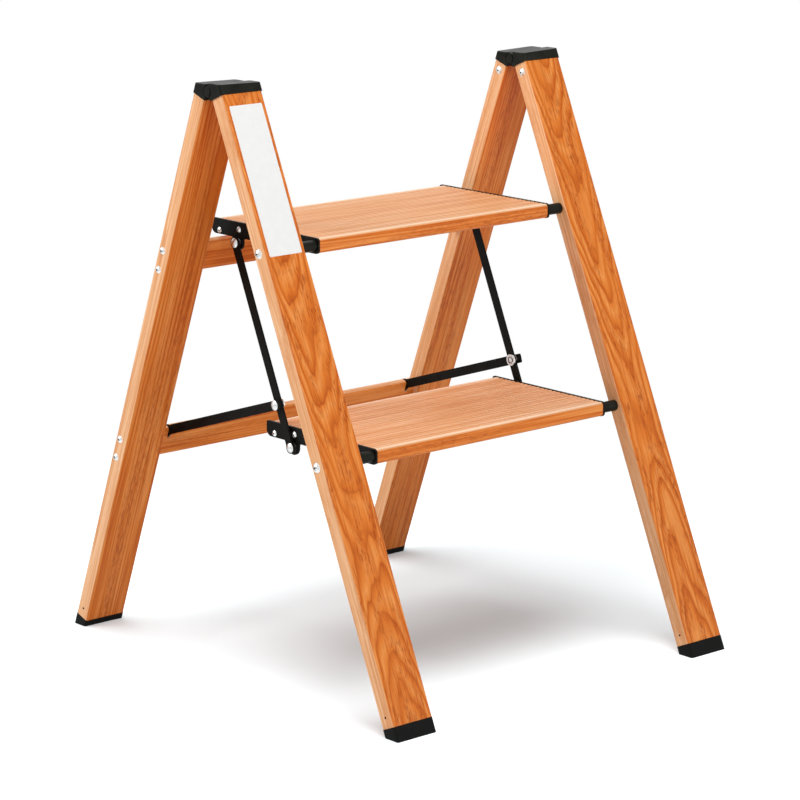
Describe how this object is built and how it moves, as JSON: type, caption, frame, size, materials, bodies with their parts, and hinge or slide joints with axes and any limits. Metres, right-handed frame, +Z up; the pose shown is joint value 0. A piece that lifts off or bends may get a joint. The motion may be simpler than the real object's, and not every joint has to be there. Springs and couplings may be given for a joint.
{
  "type": "folding step stool",
  "caption": "Folding step stool: splayed flat tube legs hinged at the top, ridged swinging treads, side links and stays that fold it flat.",
  "frame": {"origin": "on the floor, in the middle of the open stance", "axes": "+Z up, -Y towards the user, +X to the right seen from the front"},
  "size_m": [0.4656, 0.5323, 0.6125],
  "materials": {
    "wood_grain_aluminium": "wood-grain film, semi-gloss",
    "black_steel": "black powder coat, satin",
    "black_plastic": "satin",
    "black_rubber": "matte",
    "zinc_steel": "bright zinc plate"
  },
  "bodies": {
    "front_frame": {"front_leg_left": "wood_grain_aluminium", "front_leg_right": "wood_grain_aluminium", "front_hinge_cap_left": "black_plastic", "front_hinge_cap_right": "black_plastic", "front_boot_left": "black_rubber", "front_boot_right": "black_rubber", "front_cap_rivets": "zinc_steel", "front_boot_pins": "black_steel", "hinge_pins": "zinc_steel", "upper_pivot_bolts": "zinc_steel", "upper_lock_nuts": "zinc_steel", "upper_bushes": "black_plastic", "lower_pivot_bolts": "zinc_steel", "lower_lock_nuts": "zinc_steel", "lower_bushes": "black_plastic"},
    "rear_frame": {"rear_leg_left": "wood_grain_aluminium", "rear_leg_right": "wood_grain_aluminium", "rear_hinge_cap_left": "black_plastic", "rear_hinge_cap_right": "black_plastic", "rear_boot_left": "black_rubber", "rear_boot_right": "black_rubber", "rear_cap_rivets": "zinc_steel", "rear_boot_pins": "black_steel", "upper_crossbar": "wood_grain_aluminium", "lower_crossbar": "wood_grain_aluminium", "upper_crossbar_screws": "zinc_steel", "lower_crossbar_screws": "zinc_steel"},
    "upper_tread": {"upper_tread": "wood_grain_aluminium", "upper_end_plate_left": "black_steel", "upper_end_plate_right": "black_steel", "upper_plate_rivets": "zinc_steel", "upper_eye_rivet_left": "zinc_steel", "upper_eye_rivet_right": "zinc_steel"},
    "lower_tread": {"lower_tread": "wood_grain_aluminium", "lower_end_plate_left": "black_steel", "lower_end_plate_right": "black_steel", "lower_plate_rivets": "zinc_steel", "lower_eye_rivet_left": "zinc_steel", "lower_eye_rivet_right": "zinc_steel"},
    "link_left": {"link_left": "black_steel", "link_stud_left": "zinc_steel"},
    "stay_left": {"stay_left": "black_steel", "stay_rivet_left": "zinc_steel"},
    "link_right": {"link_right": "black_steel", "link_stud_right": "zinc_steel"},
    "stay_right": {"stay_right": "black_steel", "stay_rivet_right": "zinc_steel"}
  },
  "joints": [
    {"name": "rear_fold", "type": "hinge", "parent": "front_frame", "child": "rear_frame", "pos_m": [0, 0.01863, 0.6037], "axis": [-1, 0, 0], "range_deg": [0, 44]},
    {"name": "upper_tread_fold", "type": "hinge", "parent": "front_frame", "child": "upper_tread", "pos_m": [0, -0.05853, 0.45133], "axis": [1, 0, 0], "range_deg": [0, 66.5]},
    {"name": "lower_tread_fold", "type": "hinge", "parent": "front_frame", "child": "lower_tread", "pos_m": [0, -0.14546, 0.25141], "axis": [1, 0, 0], "range_deg": [0, 66.5]},
    {"name": "link_left_swing", "type": "hinge", "parent": "upper_tread", "child": "link_left", "pos_m": [0, 0.06247, 0.43833], "axis": [1, 0, 0], "range_deg": [-66.5, 0]},
    {"name": "stay_left_swing", "type": "hinge", "parent": "rear_frame", "child": "stay_left", "pos_m": [0, 0.17625, 0.22139], "axis": [-1, 0, 0], "range_deg": [0, 48.4]},
    {"name": "link_right_swing", "type": "hinge", "parent": "upper_tread", "child": "link_right", "pos_m": [0, 0.06247, 0.43833], "axis": [1, 0, 0], "range_deg": [-66.5, 0]},
    {"name": "stay_right_swing", "type": "hinge", "parent": "rear_frame", "child": "stay_right", "pos_m": [0, 0.17625, 0.22139], "axis": [-1, 0, 0], "range_deg": [0, 48.4]}
  ],
  "couplings": [
    {"joint": "upper_tread_fold", "follows": "rear_fold", "ratio": 1.5114},
    {"joint": "lower_tread_fold", "follows": "rear_fold", "ratio": 1.5114},
    {"joint": "link_left_swing", "follows": "rear_fold", "ratio": -1.5114},
    {"joint": "stay_left_swing", "follows": "rear_fold", "ratio": 1.1},
    {"joint": "link_right_swing", "follows": "rear_fold", "ratio": -1.5114},
    {"joint": "stay_right_swing", "follows": "rear_fold", "ratio": 1.1}
  ]
}
